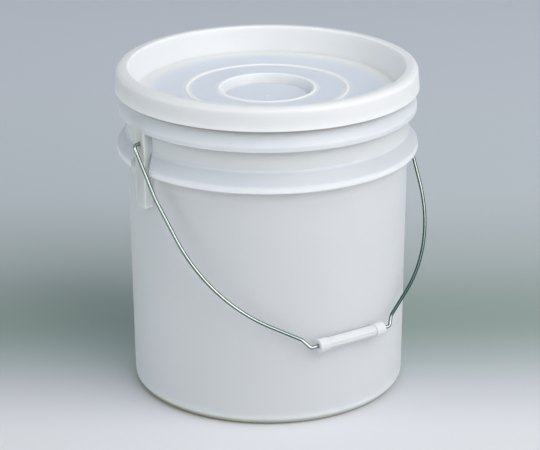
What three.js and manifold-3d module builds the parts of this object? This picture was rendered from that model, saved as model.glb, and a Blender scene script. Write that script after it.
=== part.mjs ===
// Round plastic storage pail of about 20 litres with a press-on lid and a wire bail with a plastic grip.
// Millimetres, +Z up. The origin is the centre of the foot, on the surface that the pail stands on.
// The bail turns about the X axis at the height of its ears and hangs down at the front, towards -Y.

import * as THREE from 'three';
import { mergeVertices } from 'three/addons/utils/BufferGeometryUtils.js';
import Module from 'manifold-3d';

const wasm = await Module();
wasm.setup();

// Driving dimensions of the pail body
const wall = 2.2;                    // thickness of the moulded wall
const footRadius = 141;              // outer radius of the wall, carried down to the floor
const neckRadius = 144.3;            // outer radius of the wall at the neck
const neckLength = 3.5;              // upright stretch of the wall below the bead
const rimHeight = 331;               // top of the pail's mouth
const rimBeadReach = 4.9;            // thick bead round the mouth that the lid snaps over, from the wall
const rimBeadHeight = 9.5;
const footCorner = 9;                // rounding between wall and foot
const footWidth = 4.5;               // flat ring that the pail stands on
const footRecess = 3.5;              // how far the floor lies above the foot
const floorThickness = 2.8;
const innerCorner = 7;               // rounding between wall and floor inside

// The two skirts round the neck: how far the lip stands out from the wall, how far its lower edge lies
// below the mouth, its height, and how high the flare climbs from the lip to the wall
const upperSkirt = { reach: 8.4, drop: 37, lip: 5, climb: 14 };
const lowerSkirt = { reach: 9.8, drop: 78.5, lip: 6.2, climb: 14.5 };
const skirtRounding = 5;
const lipRounding = 0.8;

// Driving dimensions of the ears
const pivotDrop = 49.7;              // from the mouth down to the bail's axis
const earReach = 8.3;                // from the neck's wall to the ear's flat face
const earWall = 2.6;
const earHalfWidth = 9.2;
const earTuck = 3;                   // how far the ear runs up behind the upper skirt
const earTail = 36.5;                // how far its open lower end lies below the lower skirt
const earCorner = 1.2;
const windowSweep = 9.8;             // from the ear's side to the end of the lower skirt's lip

// Driving dimensions of the lid
const lidThickness = 2.2;
const lidBeadReach = 3.25;           // bead inside the lid's lower edge, in from its skirt
const lidBeadHeight = 2;
const lidDraft = 2;                  // how much narrower the skirt is at its top
const lidGap = 2.7;                  // between the upper skirt's root and the lid's lower edge
const lidRise = 8;                   // from the mouth to the lid's top
const lidShoulder = 6.5;             // rounding of the outer top edge
const lidTopExtra = 0.4;             // extra thickness over the mouth
const lidSkirtDraft = 0.4;           // how much narrower the skirt is inside, above its bead
const dishPlay = 0.7;                // from the mouth's edge in to the inner edge of the rounded rim
const dishEdge = 2.4;                // rounding of that edge
const dishDraft = 9.9;               // how far in the dish's wall comes on its way down
const dishDepth = 26;                // from the lid's top to the flat panel
const panelCorner = 3.5;
const ridgeRadius = 82;              // low ring on the panel
const ridgeWidth = 4.4;
const ridgeHeight = 1.3;
const recessRadius = 48;             // sunk disc in the middle
const recessDraft = 5.5;             // how far in its wall comes on its way down
const recessDepth = 8.5;
const recessLip = 1;
const recessLipWidth = 2.8;
const gateRadius = 2;                // mark of the moulding gate
const gateHeight = 0.5;

// Driving dimensions of the bail and its grip
const wireDiameter = 3.5;
const wireHead = 6;                  // upset head that keeps each wire end in its ear
const wireHeadLength = 1.4;
const legReach = 6.2;                // from the ear's face out to the wire's bend
const legShoulder = { inwards: 2.2, down: 60, bend: 90 };
const legElbow = { inwards: 19, up: 70.5, bend: 163 };
const crank = { out: 6.6, up: 10.3, bend: 16 };  // from the grip's straight length to the bow
const bailOverLid = 87.3;            // from the lid's edge to the grip, as the bail swings over it
const wireBend = 4.2;
const gripDiameter = 11.6;           // between the collars
const gripLength = 80;
const gripFlutes = 10;
const gripFluteDepth = 0.5;
const gripCollarReach = 1;
const gripCollarLength = 11;
const gripBevel = 0.8;
const gripEndPlay = 6.5;             // from the grip's end to the wire's crank

// Clearances
const gap = 0.3;                     // between touching pieces
const holeClearance = 0.5;           // round the wire in an ear
const gripClearance = 0.4;           // round the wire in the grip
const snapClearance = 0.35;          // between the lid's bead and the bead round the mouth

// How finely round shapes are divided
const turns = 60;
const arcStep = THREE.MathUtils.degToRad(46);
const bendStep = THREE.MathUtils.degToRad(11);
const wireSides = 10;
const holeSides = 16;

// Places that follow from the sizes
const neckHeight = rimHeight - rimBeadHeight - neckLength;
const rimBeadRadius = neckRadius + rimBeadReach;
const pivot = new THREE.Vector3(0, 0, rimHeight - pivotDrop);
const earFace = neckRadius + earReach;
const earTop = skirtPlace(upperSkirt).bottom + earTuck;
const earFoot = skirtPlace(lowerSkirt).bottom - earTail;
const lidRadius = rimBeadRadius + snapClearance + lidBeadReach + lidThickness;
const lidShoulderRadius = lidRadius - lidDraft;
const lidBottom = skirtPlace(upperSkirt).top + lidGap;
const lidTop = rimHeight + lidRise;
const lidChannelTop = lidTop - lidThickness - lidTopExtra;
const dishRadius = neckRadius - wall - dishPlay;
const panelRadius = dishRadius - dishDraft;
const panelHeight = lidTop - dishDepth;
const recessFloor = panelHeight - recessDepth;
const recessFloorRadius = recessRadius - recessDraft;
const gripDrop = lidRadius + bailOverLid;
const legOut = earFace + legReach;

// Radius of the outside of the tapered wall at height z
function wallRadius(z) {
  return footRadius + (neckRadius - footRadius) * z / neckHeight;
}

// Radius of a skirt's lip, and the heights of its lower edge, the lip's top and the flare's top
function skirtPlace({ reach, drop, lip, climb }) {
  const bottom = rimHeight - drop;
  return { radius: neckRadius + reach, bottom, lipTop: bottom + lip, top: bottom + lip + climb };
}

// Outline through corners [u, v, radius] in which each corner that has a radius becomes an arc.
// The arc touches both sides at radius * tan(turn / 2) from the corner.
function rounded(corners, closed = true, step = arcStep) {
  const points = [];
  const last = corners.length - 1;
  corners.forEach(([u, v, radius = 0], i) => {
    const corner = new THREE.Vector2(u, v);
    const isEnd = !closed && (i === 0 || i === last);
    if (isEnd || radius === 0) {
      points.push(corner);
      return;
    }
    const [beforeU, beforeV] = corners[i === 0 ? last : i - 1];
    const [afterU, afterV] = corners[i === last ? 0 : i + 1];
    const toBefore = new THREE.Vector2(beforeU, beforeV).sub(corner).normalize();
    const toAfter = new THREE.Vector2(afterU, afterV).sub(corner).normalize();
    const turn = Math.PI - Math.acos(THREE.MathUtils.clamp(toBefore.dot(toAfter), -1, 1));
    const bisector = toBefore.clone().add(toAfter).normalize();
    const centre = corner.clone().addScaledVector(bisector, radius / Math.cos(turn / 2));
    const start = corner.clone().addScaledVector(toBefore, radius * Math.tan(turn / 2));
    const side = Math.sign(toBefore.cross(toAfter));
    const spokes = Math.max(1, Math.ceil(turn / step));
    for (let k = 0; k <= spokes; k++) {
      points.push(start.clone().rotateAround(centre, -side * turn * k / spokes));
    }
  });
  return points;
}

// Solid of a closed three.js surface: only positions are kept, shared corners are merged, and
// triangles that collapse, as at the poles of a turned shape, are dropped.
function solidOf(geometry) {
  const bare = geometry.clone();
  bare.deleteAttribute('normal');
  bare.deleteAttribute('uv');
  const merged = mergeVertices(bare, 1e-4);
  const corners = [];
  for (let i = 0; i < merged.index.count; i += 3) {
    const [a, b, c] = [0, 1, 2].map((k) => merged.index.getX(i + k));
    if (a !== b && b !== c && c !== a) corners.push(a, b, c);
  }
  return new wasm.Manifold(new wasm.Mesh({
    numProp: 3,
    vertProperties: new Float32Array(merged.attributes.position.array),
    triVerts: new Uint32Array(corners),
  }));
}

function geometryOf(solid) {
  const { vertProperties, triVerts } = solid.getMesh();
  const geometry = new THREE.BufferGeometry();
  geometry.setAttribute('position', new THREE.BufferAttribute(new Float32Array(vertProperties), 3));
  geometry.setIndex(new THREE.BufferAttribute(new Uint32Array(triVerts), 1));
  geometry.computeVertexNormals();
  return geometry;
}

// Solid turned about +Z from an outline of [radius, height] points that runs anticlockwise
function turned(outline, onAxis) {
  const profile = onAxis ? outline : [...outline, outline[0].clone()];
  return solidOf(new THREE.LatheGeometry(profile, turns).rotateX(Math.PI / 2));
}

// Solid between two distances along X with an outline of [y, z] points
function plateAcross(outline, from, to) {
  const slab = new THREE.ExtrudeGeometry(new THREE.Shape(outline), {
    depth: to - from, steps: 1, bevelEnabled: false,
  });
  const toYZX = new THREE.Matrix4().makeBasis(
    new THREE.Vector3(0, 1, 0), new THREE.Vector3(0, 0, 1), new THREE.Vector3(1, 0, 0));
  return solidOf(slab.applyMatrix4(toYZX).translate(from, 0, 0));
}

// Section of one skirt, upwards along the outside of the wall: its hollow underside, its lip and its flare
function skirtCorners(skirt) {
  const { radius, bottom, lipTop, top } = skirtPlace(skirt);
  const inner = radius - wall;
  return [
    [wallRadius(top - 2 * wall), top - 2 * wall, 1.5],
    [inner, lipTop - wall / 2, skirtRounding - wall],
    [inner, bottom, lipRounding],
    [radius, bottom, lipRounding],
    [radius, lipTop, skirtRounding],
    [wallRadius(top), top, 3],
  ];
}

// One-piece moulded tub: foot, tapered wall, two skirts and the beaded mouth
function pailShell() {
  const footInner = footRadius - footCorner - footWidth;
  const floorTop = footRecess + floorThickness;
  const beadBottom = rimHeight - rimBeadHeight;
  return turned(rounded([
    [0, footRecess],
    [footInner - footRecess / 2, footRecess, 1.5],
    [footInner, 0, 0.5],
    [footRadius, 0, footCorner],
    ...skirtCorners(lowerSkirt),
    ...skirtCorners(upperSkirt),
    [neckRadius, beadBottom - (rimBeadRadius - neckRadius) / 2, 1],
    [rimBeadRadius, beadBottom, 1],
    [rimBeadRadius, rimHeight, 3],
    [neckRadius - wall, rimHeight, 0.8],
    [wallRadius(floorTop) - wall, floorTop, innerCorner],
    [0, floorTop],
  ], false), true);
}

// Outline of an ear seen along X, drawn in by an inset
function earOutline(inset, foot) {
  const half = earHalfWidth - inset;
  return rounded([
    [-half, foot],
    [half, foot],
    [half, earTop - inset, earCorner],
    [-half, earTop - inset, earCorner],
  ]);
}

// Hollow column on the +X side, from behind the upper skirt to well below the lower one
function ear() {
  const insideWall = wallRadius(earFoot) - wall / 2;
  return plateAcross(earOutline(0, earFoot), insideWall, earFace);
}

// Inside of the column, open below, with the hole that the wire end turns in
function earHollow() {
  const hollow = plateAcross(
    earOutline(earWall, earFoot - 1), wallRadius(earTop) + gap, earFace - earWall);
  const holeRadius = wireDiameter / 2 + holeClearance;
  const hole = new THREE.CylinderGeometry(holeRadius, holeRadius, earWall * 3, holeSides);
  return hollow.add(solidOf(hole.rotateZ(Math.PI / 2).translate(earFace, 0, pivot.z)));
}

// Window in the lower skirt round an ear: its sides sweep out from the ear to the skirt's edge
function skirtWindow() {
  const { radius, bottom, lipTop, top } = skirtPlace(lowerSkirt);
  const halfWidth = earHalfWidth + windowSweep;
  const side = [
    [halfWidth, bottom - 1],
    [halfWidth - 1, lipTop, windowSweep],
    [earHalfWidth + gap, top, windowSweep],
    [earHalfWidth + gap, skirtPlace(upperSkirt).bottom - gap],
  ];
  const otherSide = side.map(([y, z, bend]) => [-y, z, bend]).reverse();
  return plateAcross(rounded([...side, ...otherSide]), wallRadius(earTop) + gap, radius + wall);
}

function pailBody() {
  const body = [0, Math.PI].reduce((shell, angle) => {
    const place = (solid) => solid.rotate([0, 0, THREE.MathUtils.radToDeg(angle)]);
    return shell.subtract(place(skirtWindow())).add(place(ear())).subtract(place(earHollow()));
  }, pailShell());
  return geometryOf(body);
}

// One-piece moulded lid: skirt with its inner bead, rounded rim over the channel for the mouth and
// gasket, sloping wall of the dish, flat panel with a ring, and the sunk disc
function lid() {
  const dishSlope = (dishRadius - panelRadius) / (lidTop - panelHeight);
  const plugOffset = lidThickness * Math.hypot(1, dishSlope);
  const plugRadius = (z) => panelRadius + plugOffset + dishSlope * (z - panelHeight);
  const panelUnder = panelHeight - lidThickness;
  const beadRadius = rimBeadRadius + snapClearance;
  const recessUnder = recessFloor - lidThickness;
  const ridgeInner = ridgeRadius - ridgeWidth / 2;
  const ridgeOuter = ridgeRadius + ridgeWidth / 2;
  return geometryOf(turned(rounded([
    [0, recessUnder],
    [recessFloorRadius + lidThickness, recessUnder, 2],
    [recessRadius + lidThickness, panelUnder, 1],
    [plugRadius(panelUnder), panelUnder, panelCorner + lidThickness],
    [plugRadius(lidChannelTop), lidChannelTop, 1],
    [lidShoulderRadius - lidThickness, lidChannelTop, lidShoulder - lidThickness],
    [lidRadius - lidThickness - lidSkirtDraft, lidBottom + 2 * lidBeadHeight],
    [beadRadius, lidBottom + lidBeadHeight * 1.6],
    [beadRadius, lidBottom + lidBeadHeight * 0.7],
    [lidRadius - lidThickness, lidBottom, 0.4],
    [lidRadius, lidBottom, lipRounding],
    [lidShoulderRadius, lidTop, lidShoulder],
    [dishRadius, lidTop, dishEdge],
    [panelRadius, panelHeight, panelCorner],
    [ridgeOuter, panelHeight],
    [ridgeOuter - ridgeHeight, panelHeight + ridgeHeight, 0.8],
    [ridgeInner + ridgeHeight, panelHeight + ridgeHeight, 0.8],
    [ridgeInner, panelHeight],
    [recessRadius + recessLipWidth, panelHeight],
    [recessRadius + recessLipWidth - recessLip, panelHeight + recessLip, 0.6],
    [recessRadius, panelHeight + recessLip, 0.8],
    [recessFloorRadius, recessFloor, 1.5],
    [gateRadius + gateHeight, recessFloor],
    [gateRadius, recessFloor + gateHeight],
    [0, recessFloor + gateHeight],
  ], false), true));
}

// Soft seal that fills the top of the lid's channel and lies on the mouth
function lidGasket() {
  const bottom = rimHeight + gap;
  const top = lidChannelTop - gap;
  const inner = neckRadius - wall + 1.5;
  const outer = rimBeadRadius - lidThickness;
  return geometryOf(turned(rounded([
    [inner, bottom],
    [outer, bottom],
    [outer, top, 1.5],
    [inner, top],
  ]), false));
}

// Bail angle at rest, from hanging straight down to where the grip lies against the wall
function restAngle() {
  let angle = 0;
  for (let pass = 0; pass < 12; pass++) {
    const gripHeight = pivot.z - gripDrop * Math.cos(angle);
    const reach = wallRadius(gripHeight) + gap + gripDiameter / 2;
    angle = Math.asin(Math.min(1, reach / gripDrop));
  }
  return angle;
}

// Path through given points that is sampled exactly at those points
class WirePath extends THREE.Curve {
  constructor(points) {
    super();
    this.points = points;
  }

  getPoint(t, target = new THREE.Vector3()) {
    const place = THREE.MathUtils.clamp(t, 0, 1) * (this.points.length - 1);
    const i = Math.min(Math.floor(place), this.points.length - 2);
    return target.lerpVectors(this.points[i], this.points[i + 1], place - i);
  }

  getUtoTmapping(u) {
    return u;
  }
}

// The bail's centre line as [out, down] points in its own plane, from one wire end to the other
function bailLine() {
  const crankFoot = gripLength / 2 + gripEndPlay + wireBend / 2;
  const half = [
    [earFace - earWall - holeClearance, 0],
    [legOut, 0, wireBend],
    [legOut - legShoulder.inwards, legShoulder.down, legShoulder.bend],
    [legOut - legElbow.inwards, gripDrop - legElbow.up, legElbow.bend],
    [crankFoot + crank.out, gripDrop - crank.up, crank.bend],
    [crankFoot, gripDrop, wireBend],
  ];
  const mirrored = half.map(([out, ...rest]) => [-out, ...rest]).reverse();
  return rounded([...half, ...mirrored], false, bendStep);
}

function bail() {
  const line = bailLine().map(({ x, y }) => new THREE.Vector3(x, 0, -y));
  const section = new THREE.Shape();
  section.absarc(0, 0, wireDiameter / 2, 0, 2 * Math.PI);
  const wire = solidOf(new THREE.ExtrudeGeometry(section, {
    extrudePath: new WirePath(line), steps: line.length - 1, curveSegments: wireSides / 2,
  }));
  const headMiddle = earFace - earWall - holeClearance - wireHeadLength / 2;
  const heads = [-1, 1].map((side) => {
    const head = new THREE.CylinderGeometry(wireHead / 2, wireHead / 2, wireHeadLength + 0.2, holeSides);
    return solidOf(head.rotateZ(Math.PI / 2).translate(side * headMiddle, 0, 0));
  });
  return geometryOf(heads.reduce((sum, head) => sum.add(head), wire));
}

// Moulded tube with shallow flutes along it and a plain collar at each end
function grip() {
  const bodyRadius = gripDiameter / 2;
  const count = gripFlutes * 4;
  const outline = Array.from({ length: count }, (_, i) => {
    const angle = 2 * Math.PI * i / count;
    const radius = bodyRadius - gripFluteDepth * (0.5 - 0.5 * Math.cos(gripFlutes * angle));
    return new THREE.Vector2(radius * Math.cos(angle), radius * Math.sin(angle));
  });
  const body = new THREE.ExtrudeGeometry(new THREE.Shape(outline), {
    depth: gripLength - gripCollarLength, steps: 1, bevelEnabled: false,
  });
  const ring = new THREE.Shape();
  ring.absarc(0, 0, bodyRadius + gripCollarReach - gripBevel, 0, 2 * Math.PI);
  const collars = [-1, 1].map((side) => {
    const collar = new THREE.ExtrudeGeometry(ring, {
      depth: gripCollarLength - 2 * gripBevel, steps: 1, curveSegments: holeSides,
      bevelEnabled: true, bevelThickness: gripBevel, bevelSize: gripBevel, bevelSegments: 2,
    });
    const middle = side * (gripLength - gripCollarLength) / 2;
    return solidOf(collar.translate(0, 0, middle - gripCollarLength / 2 + gripBevel));
  });
  const boreRadius = wireDiameter / 2 + gripClearance;
  const bore = new THREE.CylinderGeometry(boreRadius, boreRadius, gripLength * 1.1, holeSides);
  const tube = solidOf(body.translate(0, 0, (gripCollarLength - gripLength) / 2))
    .add(collars[0]).add(collars[1])
    .subtract(solidOf(bore.rotateX(Math.PI / 2)));
  return geometryOf(tube).rotateY(Math.PI / 2);
}

const material = (color, roughness, metalness = 0) =>
  new THREE.MeshStandardMaterial({ color, roughness, metalness });

const naturalPlastic = material(0xd3d9de, 0.42);
const whitePlastic = material(0xe9eceb, 0.34);
const sealRubber = material(0xb9bcb8, 0.75);
const galvanisedWire = material(0x8f9290, 0.4, 0.9);
const gripPlastic = material(0xe6e9e8, 0.4);

function piece(name, geometry, finish) {
  const mesh = new THREE.Mesh(geometry, finish);
  mesh.name = name;
  return mesh;
}

// The bail and its grip are drawn hanging straight down and turned to where the grip meets the wall
const swing = new THREE.Group();
swing.position.copy(pivot);
swing.rotation.x = -restAngle();
const gripPiece = piece('grip', grip(), gripPlastic);
gripPiece.position.z = -gripDrop;
swing.add(piece('bail', bail(), galvanisedWire), gripPiece);

const pail = new THREE.Group();
pail.add(
  piece('pail_body', pailBody(), naturalPlastic),
  piece('lid', lid(), whitePlastic),
  piece('lid_gasket', lidGasket(), sealRubber),
  swing,
);

export default pail;
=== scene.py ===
"""Round plastic storage pail with a press-on lid and a wire bail: the finished look, in metres."""

import bpy
import numpy as np
from mathutils import Matrix, Vector


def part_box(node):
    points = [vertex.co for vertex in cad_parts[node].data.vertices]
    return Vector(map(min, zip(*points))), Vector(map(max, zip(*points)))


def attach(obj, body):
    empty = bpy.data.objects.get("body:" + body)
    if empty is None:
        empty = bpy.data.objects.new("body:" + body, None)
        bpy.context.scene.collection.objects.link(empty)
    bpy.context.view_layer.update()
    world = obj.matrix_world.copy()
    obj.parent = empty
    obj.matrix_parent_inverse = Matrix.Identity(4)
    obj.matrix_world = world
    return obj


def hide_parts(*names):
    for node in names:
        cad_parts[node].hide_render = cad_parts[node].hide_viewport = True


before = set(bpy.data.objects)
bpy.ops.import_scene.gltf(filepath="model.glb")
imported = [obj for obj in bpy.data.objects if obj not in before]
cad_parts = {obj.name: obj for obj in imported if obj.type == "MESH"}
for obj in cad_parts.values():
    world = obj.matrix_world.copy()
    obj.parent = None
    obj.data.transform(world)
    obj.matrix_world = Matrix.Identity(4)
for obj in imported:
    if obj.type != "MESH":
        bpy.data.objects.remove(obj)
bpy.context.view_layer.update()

SCENE = bpy.context.scene
SCENE.view_settings.view_transform = "Standard"
MM = 0.001

# The studio: a camera at the height of a standing viewer's chest, looking down on the lid from the
# front left, a pale sweep that runs from floor to backdrop with a greenish band of painted shadow
# behind the pail, and soft light from the front right.
FRAME_WIDTH_PX = 540
FOCAL_PX = 2165.4
SENSOR_MM = 36.0
CAMERA_DISTANCE = 2.1133
CAMERA_HEIGHT = 0.9579
CAMERA_TILT_DOWN = 0.3596
CAMERA_ROLL = -0.0041
CAMERA_HEADING = np.radians(33.9)
CAMERA_YAW = 0.0011
SWEEP_HALF_WIDTH = 6.0
SWEEP_FRONT = 3.0
SWEEP_BACK = 1.7
SWEEP_RADIUS = 1.2
SWEEP_HEIGHT = 4.5
SWEEP_STEPS = 24
# Colours by distance behind the pail's axis, along the camera's heading: a pale floor that darkens into
# a greenish band of painted shadow, where the pail's own shadow falls, from about 0.02 to 0.31 m behind
# the axis, and lightens again further back
SWEEP_COLOURS_WITH_PAINTED_SHADOW = [
    (-0.15, (0.66, 0.66, 0.68)),
    (-0.06, (0.55, 0.55, 0.58)),
    (0.02, (0.40, 0.45, 0.45)),
    (0.13, (0.21, 0.28, 0.235)),
    (0.31, (0.40, 0.445, 0.445)),
    (0.55, (0.50, 0.54, 0.565)),
    (1.40, (0.60, 0.62, 0.68)),
]
SWEEP_ROUGHNESS = 0.7
WORLD_COLOUR = (0.90, 0.96, 1.0)
WORLD_STRENGTH = 0.55
LAMP_TARGET_HEIGHT = 0.17
SHARP_ANGLE = np.radians(38)


def facing(heading, tilt_down, roll):
    """Turn of a camera that looks along a heading clockwise from +Y, tilted down and then rolled."""
    return (Matrix.Rotation(-heading, 4, "Z") @ Matrix.Rotation(np.pi / 2 - tilt_down, 4, "X")
            @ Matrix.Rotation(roll, 4, "Z"))


def grid_mesh(name, points, wrap_rows=False, wrap_columns=False):
    """Object whose faces join a grid of points [row, column, xyz] in quads, row i to i + 1 and column j
    to j + 1, going round where a direction wraps. A face's corners run (i, j), (i, j + 1),
    (i + 1, j + 1), (i + 1, j)."""
    rows, columns = points.shape[:2]
    i = np.arange(rows if wrap_rows else rows - 1)[:, None]
    j = np.arange(columns if wrap_columns else columns - 1)[None, :]
    after_i, after_j = (i + 1) % rows, (j + 1) % columns
    row, after_row = i * columns, after_i * columns
    corners = [row + j, row + after_j, after_row + after_j, after_row + j]
    quads = np.stack([np.broadcast_to(c, np.broadcast(i, j).shape) for c in corners], -1).reshape(-1, 4)
    return mesh_object(name, points.reshape(-1, 3), quads)


def mesh_object(name, vertices, faces):
    """Object at the origin from arrays of vertices and faces, smooth but for its sharp edges."""
    mesh = bpy.data.meshes.new(name)
    mesh.from_pydata(vertices.tolist(), [], faces if isinstance(faces, list) else faces.tolist())
    mesh.validate()
    mesh.shade_smooth()
    mesh.set_sharp_from_angle(angle=SHARP_ANGLE)
    piece = bpy.data.objects.new(name, mesh)
    SCENE.collection.objects.link(piece)
    return piece


def add(tree, kind, settings=None, **feeds):
    """New node with settings, and with inputs by name (spaces as underscores) or by number (_0, _1),
    each a value or another node's socket."""
    node = tree.nodes.new(kind)
    for key, value in (settings or {}).items():
        setattr(node, key, value)
    for key, value in feeds.items():
        socket = node.inputs[int(key[1:])] if key[0] == "_" else node.inputs[key.replace("_", " ")]
        if isinstance(value, bpy.types.NodeSocket):
            tree.links.new(value, socket)
        else:
            socket.default_value = value
    return node


def colour_ramp(tree, value, stops, blend="EASE"):
    """Ramp over a value between the first and last stop's place; stops are (place, colour)."""
    low, high = stops[0][0], stops[-1][0]
    share = add(tree, "ShaderNodeMapRange", Value=value, From_Min=low, From_Max=high)
    ramp = add(tree, "ShaderNodeValToRGB", Fac=share.outputs["Result"])
    ramp.color_ramp.interpolation = blend
    for at, colour in stops[1:-1]:
        ramp.color_ramp.elements.new((at - low) / (high - low)).color = (*colour, 1)
    ramp.color_ramp.elements[0].color = (*stops[0][1], 1)
    ramp.color_ramp.elements[-1].color = (*stops[-1][1], 1)
    return ramp.outputs["Color"]


heading_turn = Matrix.Rotation(-CAMERA_HEADING, 4, "Z")
camera = bpy.data.objects.new("camera", bpy.data.cameras.new("camera"))
camera.data.sensor_width = SENSOR_MM
camera.data.lens = FOCAL_PX / FRAME_WIDTH_PX * SENSOR_MM
camera.data.clip_end = 50.0
camera.matrix_world = (
    Matrix.Translation(heading_turn @ Vector((0.0, -CAMERA_DISTANCE, CAMERA_HEIGHT)))
    @ facing(CAMERA_HEADING + CAMERA_YAW, CAMERA_TILT_DOWN, CAMERA_ROLL))
SCENE.collection.objects.link(camera)
SCENE.camera = camera

# The sweep's section runs level to the back, up a quarter circle and on up the wall
bend = np.linspace(0, np.pi / 2, SWEEP_STEPS + 1)
section_y = np.concatenate([
    [-SWEEP_FRONT], SWEEP_BACK + SWEEP_RADIUS * np.sin(bend), [SWEEP_BACK + SWEEP_RADIUS]])
section_z = np.concatenate([[0.0], SWEEP_RADIUS * (1 - np.cos(bend)), [SWEEP_HEIGHT]])
across = np.array([-SWEEP_HALF_WIDTH, SWEEP_HALF_WIDTH])
sweep_points = np.stack(np.broadcast_arrays(
    across[None, :], section_y[:, None], section_z[:, None]), -1)
sweep = grid_mesh("sweep", sweep_points @ np.array(heading_turn.to_3x3()).T)
sweep_material = bpy.data.materials.new("sweep")
sweep_material.use_nodes = True
tree = sweep_material.node_tree
place = add(tree, "ShaderNodeTexCoord").outputs["Object"]
level = add(tree, "ShaderNodeMapping", Vector=place, Rotation=(0, 0, CAMERA_HEADING))
behind = add(tree, "ShaderNodeSeparateXYZ", Vector=level.outputs["Vector"]).outputs["Y"]
shader = tree.nodes["Principled BSDF"]
shader.inputs["Roughness"].default_value = SWEEP_ROUGHNESS
# Floor colour with a band of painted shadow behind the pail
tree.links.new(colour_ramp(tree, behind, SWEEP_COLOURS_WITH_PAINTED_SHADOW, "B_SPLINE"), shader.inputs["Base Color"])
sweep.data.materials.append(sweep_material)


def soft_lamp(name, heading, elevation, distance, size, watts, colour):
    """Square area lamp on a sphere round the pail, aimed at its middle; heading is clockwise from the
    camera's own place, so 0 is at the camera and a quarter turn is to the pail's right."""
    target = Vector((0.0, 0.0, LAMP_TARGET_HEIGHT))
    out = heading_turn @ Vector((
        np.sin(heading) * np.cos(elevation), -np.cos(heading) * np.cos(elevation), np.sin(elevation)))
    lamp = bpy.data.objects.new(name, bpy.data.lights.new(name, "AREA"))
    lamp.data.shape = "SQUARE"
    lamp.data.size = size
    lamp.data.energy = watts
    lamp.data.color = colour
    lamp.location = target + distance * out
    lamp.rotation_euler = (-out).to_track_quat("-Z", "Y").to_euler()
    SCENE.collection.objects.link(lamp)


soft_lamp("key", heading=np.radians(46), elevation=np.radians(38),
          distance=2.6, size=2.6, watts=66.0, colour=(1.0, 0.98, 0.97))
soft_lamp("fill", heading=np.radians(-55), elevation=np.radians(22),
          distance=3.0, size=2.4, watts=24.0, colour=(0.95, 1.0, 0.98))
world = bpy.data.worlds.new("world")
world.use_nodes = True
world.node_tree.nodes["Background"].inputs["Color"].default_value = (*WORLD_COLOUR, 1.0)
world.node_tree.nodes["Background"].inputs["Strength"].default_value = WORLD_STRENGTH
SCENE.world = world

# The tub: natural polyethylene, injection moulded in one piece, milky and a little see-through. Two
# skirts stiffen its neck, and two hollow ears stand out between them to take the ends of the bail.
WALL = 2.2 * MM
FOOT_RADIUS = 141 * MM
NECK_RADIUS = 144.3 * MM
NECK_HEIGHT = 318 * MM
RIM_HEIGHT = 331 * MM
RIM_BEAD_RADIUS = 149.2 * MM
RIM_BEAD_HEIGHT = 9.5 * MM
FOOT_CORNER = 9 * MM
FOOT_WIDTH = 4.5 * MM
FOOT_EDGE = 0.5 * MM
FOOT_RECESS = 3.5 * MM
FOOT_RECESS_ROUNDING = 1.5 * MM
FLOOR_THICKNESS = 2.8 * MM
INNER_CORNER = 7 * MM
UPPER_SKIRT = {"radius": 152.7 * MM, "bottom": 294 * MM, "lip": 5 * MM, "climb": 14 * MM}
LOWER_SKIRT = {"radius": 154.1 * MM, "bottom": 252.5 * MM, "lip": 6.2 * MM, "climb": 14.5 * MM}
SKIRT_ROUNDING = 5 * MM
SKIRT_HOLLOW = 1.5 * MM
FLARE_ROUNDING = 3 * MM
LIP_ROUNDING = 0.8 * MM
BEAD_ROUNDING = 1 * MM
MOUTH_ROUNDING = 3 * MM
PIVOT_HEIGHT = 281.3 * MM
EAR_FACE = 152.6 * MM
EAR_WALL = 2.6 * MM
EAR_HALF_WIDTH = 9.2 * MM
EAR_TOP = 297 * MM
EAR_FOOT = 216 * MM
EAR_CORNER = 1.2 * MM
EAR_EDGE = 0.7 * MM
EAR_HOLE_RADIUS = 2.25 * MM
EAR_HOLE_SIDES = 32
WINDOW_HALF_WIDTH = 19 * MM
GAP = 0.3 * MM
CUT_PAST = 1 * MM
TURNS = 288
WALL_COLOUR = (0.77, 0.81, 0.885)
# Painted light and shade of the skirts and neck: a painted highlight on the lower lip, painted light
# under it and on the neck where the skirts cast shade, painted shade on the upper lip and on the flares,
# which face up into the key lamp, and a brownish line of painted shade just under the lid
LIP_PAINTED_HIGHLIGHT = (0.86, 0.88, 0.93)
UNDER_LIP_PAINTED_LIGHT = (0.93, 0.96, 1.0)
UPPER_LIP_PAINTED_SHADE = (0.61, 0.625, 0.65)
FLARE_PAINTED_SHADE = (0.53, 0.545, 0.58)
NECK_PAINTED_LIGHT = (0.84, 0.90, 1.0)
UPPER_FLARE_PAINTED_SHADE = (0.635, 0.66, 0.695)
UNDER_LID_PAINTED_SHADE = (0.62, 0.56, 0.46)
# Painted shade: the ears darker and greener than the wall
EAR_PAINTED_SHADE = (0.63, 0.65, 0.62)
NO_TINT = (1.0, 1.0, 1.0)
CLOUDS_PER_METRE = (9.0, 9.0, 3.5)
SCUFFS_PER_METRE = 90.0
SCUFF_RELIEF = 0.4 * MM
SPECK_COLOUR = (0.10, 0.11, 0.11)
# One speck cell in twenty holds a speck, which fades in between two shares of a cell from its middle
SPECK_CELLS_PER_METRE = 55.0
SPECK_RARITY = 0.95
SPECK_EDGE = (0.055, 0.03)
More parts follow.
